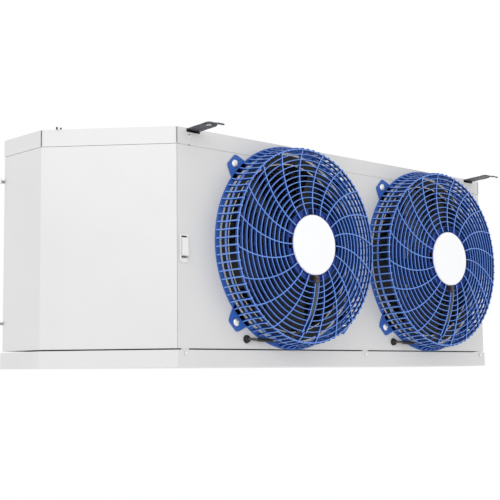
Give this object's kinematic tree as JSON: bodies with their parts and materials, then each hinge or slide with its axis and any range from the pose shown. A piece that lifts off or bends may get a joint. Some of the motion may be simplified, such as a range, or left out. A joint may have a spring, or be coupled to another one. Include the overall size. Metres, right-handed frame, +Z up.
{
  "type": "unit cooler",
  "caption": "Low wide unit cooler for a walk-in cold room, with angled hinged ends, guarded axial fans, finned coil, ceiling hanger straps and a swing-down drain pan.",
  "frame": {"origin": "centre of the four hanger slots, in the plane that meets the ceiling", "axes": "+X along the unit to its right end seen from the fans, +Y away from the fans, +Z up"},
  "size_m": [1.824, 0.67, 0.616],
  "materials": {
    "cabinet_sheet": "stucco-embossed mill finish",
    "inner_sheet": "plain mill finish",
    "fin_stock": "plain thin sheet",
    "copper": "drawn copper tube",
    "brass_fittings": "machined",
    "galvanised_strap": "dark galvanised",
    "hinge_steel": "zinc plated",
    "screw_steel": "bright plated",
    "blue_guard": "moulded, slight gloss",
    "white_disc": "moulded, smooth",
    "motor_black": "satin",
    "fan_dark": "moulded, matt",
    "cord_jacket": "matt jacket",
    "plug_plastic": "moulded",
    "black_rubber": "matt",
    "latch_plastic": "moulded",
    "box_steel": "galvanised",
    "terminal_plastic": "moulded"
  },
  "bodies": {
    "cabinet": {"coil_fins": "fin_stock", "coil_tubes": "copper", "cord_grommets": "black_rubber", "door_hinge_brackets": "hinge_steel", "expansion_valve": "brass_fittings", "fan_motors": "motor_black", "fan_partition": "inner_sheet", "feeder_line": "copper", "front_left_hanger": "galvanised_strap", "front_panel": "cabinet_sheet", "front_right_hanger": "galvanised_strap", "guard_screws": "screw_steel", "hub_discs": "white_disc", "junction_box": "box_steel", "junction_box_cover": "box_steel", "latch_base": "latch_plastic", "left_fan_guard": "blue_guard", "left_rear_panel": "cabinet_sheet", "left_tube_sheet": "inner_sheet", "liquid_line": "copper", "motor_cords": "cord_jacket", "motor_plugs": "plug_plastic", "pan_hinge_brackets": "hinge_steel", "pan_tabs": "cabinet_sheet", "rear_bottom_rail": "cabinet_sheet", "rear_left_hanger": "galvanised_strap", "rear_right_hanger": "galvanised_strap", "return_bends": "copper", "right_fan_guard": "blue_guard", "right_rear_panel": "cabinet_sheet", "right_tube_sheet": "inner_sheet", "suction_header": "copper", "terminal_block": "terminal_plastic", "top_panel": "cabinet_sheet"},
    "left_fan": {"left_fan_shaft": "screw_steel", "left_fan_hub": "fan_dark", "left_fan_blades": "fan_dark"},
    "right_fan": {"right_fan_shaft": "screw_steel", "right_fan_hub": "fan_dark", "right_fan_blades": "fan_dark"},
    "left_door": {"left_end_door": "cabinet_sheet", "left_door_lugs": "hinge_steel"},
    "right_door": {"right_end_door": "cabinet_sheet", "right_door_lugs": "hinge_steel"},
    "latch_lever": {"latch_lever": "latch_plastic"},
    "drain_pan": {"drain_pan": "cabinet_sheet", "drain_fitting": "brass_fittings", "drain_nut": "brass_fittings", "pan_hinge_lugs": "hinge_steel", "pan_screws": "screw_steel"}
  },
  "joints": [
    {"name": "left_fan_spin", "type": "hinge", "parent": "cabinet", "child": "left_fan", "pos_m": [-0.243, -0.221, -0.29], "axis": [0, -1, 0], "continuous": true},
    {"name": "right_fan_spin", "type": "hinge", "parent": "cabinet", "child": "right_fan", "pos_m": [0.361, -0.221, -0.29], "axis": [0, -1, 0], "continuous": true},
    {"name": "left_door_hinge", "type": "hinge", "parent": "cabinet", "child": "left_door", "pos_m": [-0.889, 0.227, -0.31], "axis": [0, 0, -1], "range_deg": [0, 110]},
    {"name": "right_door_hinge", "type": "hinge", "parent": "cabinet", "child": "right_door", "pos_m": [0.889, 0.227, -0.31], "axis": [0, 0, 1], "range_deg": [0, 110]},
    {"name": "latch_pivot", "type": "hinge", "parent": "cabinet", "child": "latch_lever", "pos_m": [-0.628, -0.2271, -0.294], "axis": [-1, 0, 0], "range_deg": [0, 60]},
    {"name": "drain_pan_hinge", "type": "hinge", "parent": "cabinet", "child": "drain_pan", "pos_m": [0, 0.2325, -0.573], "axis": [1, 0, 0], "range_deg": [0, 75]}
  ]
}
